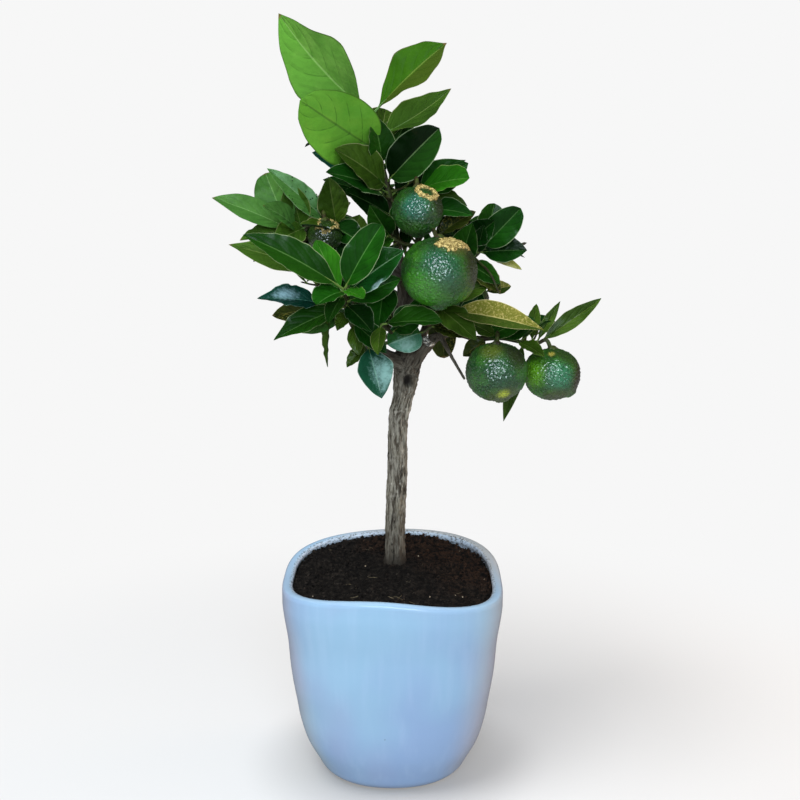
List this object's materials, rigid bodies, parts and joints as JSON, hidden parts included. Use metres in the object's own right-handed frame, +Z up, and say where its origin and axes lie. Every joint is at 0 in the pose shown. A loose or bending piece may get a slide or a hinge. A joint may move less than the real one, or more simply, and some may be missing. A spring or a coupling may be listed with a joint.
{
  "type": "potted rangpur lime tree",
  "caption": "Young citrus tree with green limes and glossy leaves on a slim leaning trunk, in a wavy-rimmed pale blue glazed pot filled with soil.",
  "frame": {"origin": "centre of the pot's flat underside", "axes": "+Z up along the tree, -Y towards the side that the picture shows, +X to its right"},
  "size_m": [0.2993, 0.205, 0.6094],
  "materials": {
    "glaze": "pale blue gloss glaze with a warm cream inner rim",
    "soil": "dark crumbly potting soil, matt",
    "bark": "grey-brown bark with fine fissures",
    "foliage": "glossy citrus leaves, green twigs and dimpled green limes"
  },
  "bodies": {
    "root": {"pot": "glaze", "soil": "soil", "trunk": "bark", "leader_bough": "bark", "left_bough": "bark", "right_bough": "bark", "upper_left_bough": "bark", "upper_right_bough": "bark", "back_left_bough": "bark", "back_right_bough": "bark", "top_foliage": "foliage", "upper_left_foliage": "foliage", "left_front_foliage": "foliage", "low_front_foliage": "foliage", "middle_foliage": "foliage", "right_foliage": "foliage", "upper_right_foliage": "foliage", "back_left_foliage": "foliage", "back_right_foliage": "foliage", "back_top_foliage": "foliage", "back_low_foliage": "foliage"}
  },
  "joints": []
}
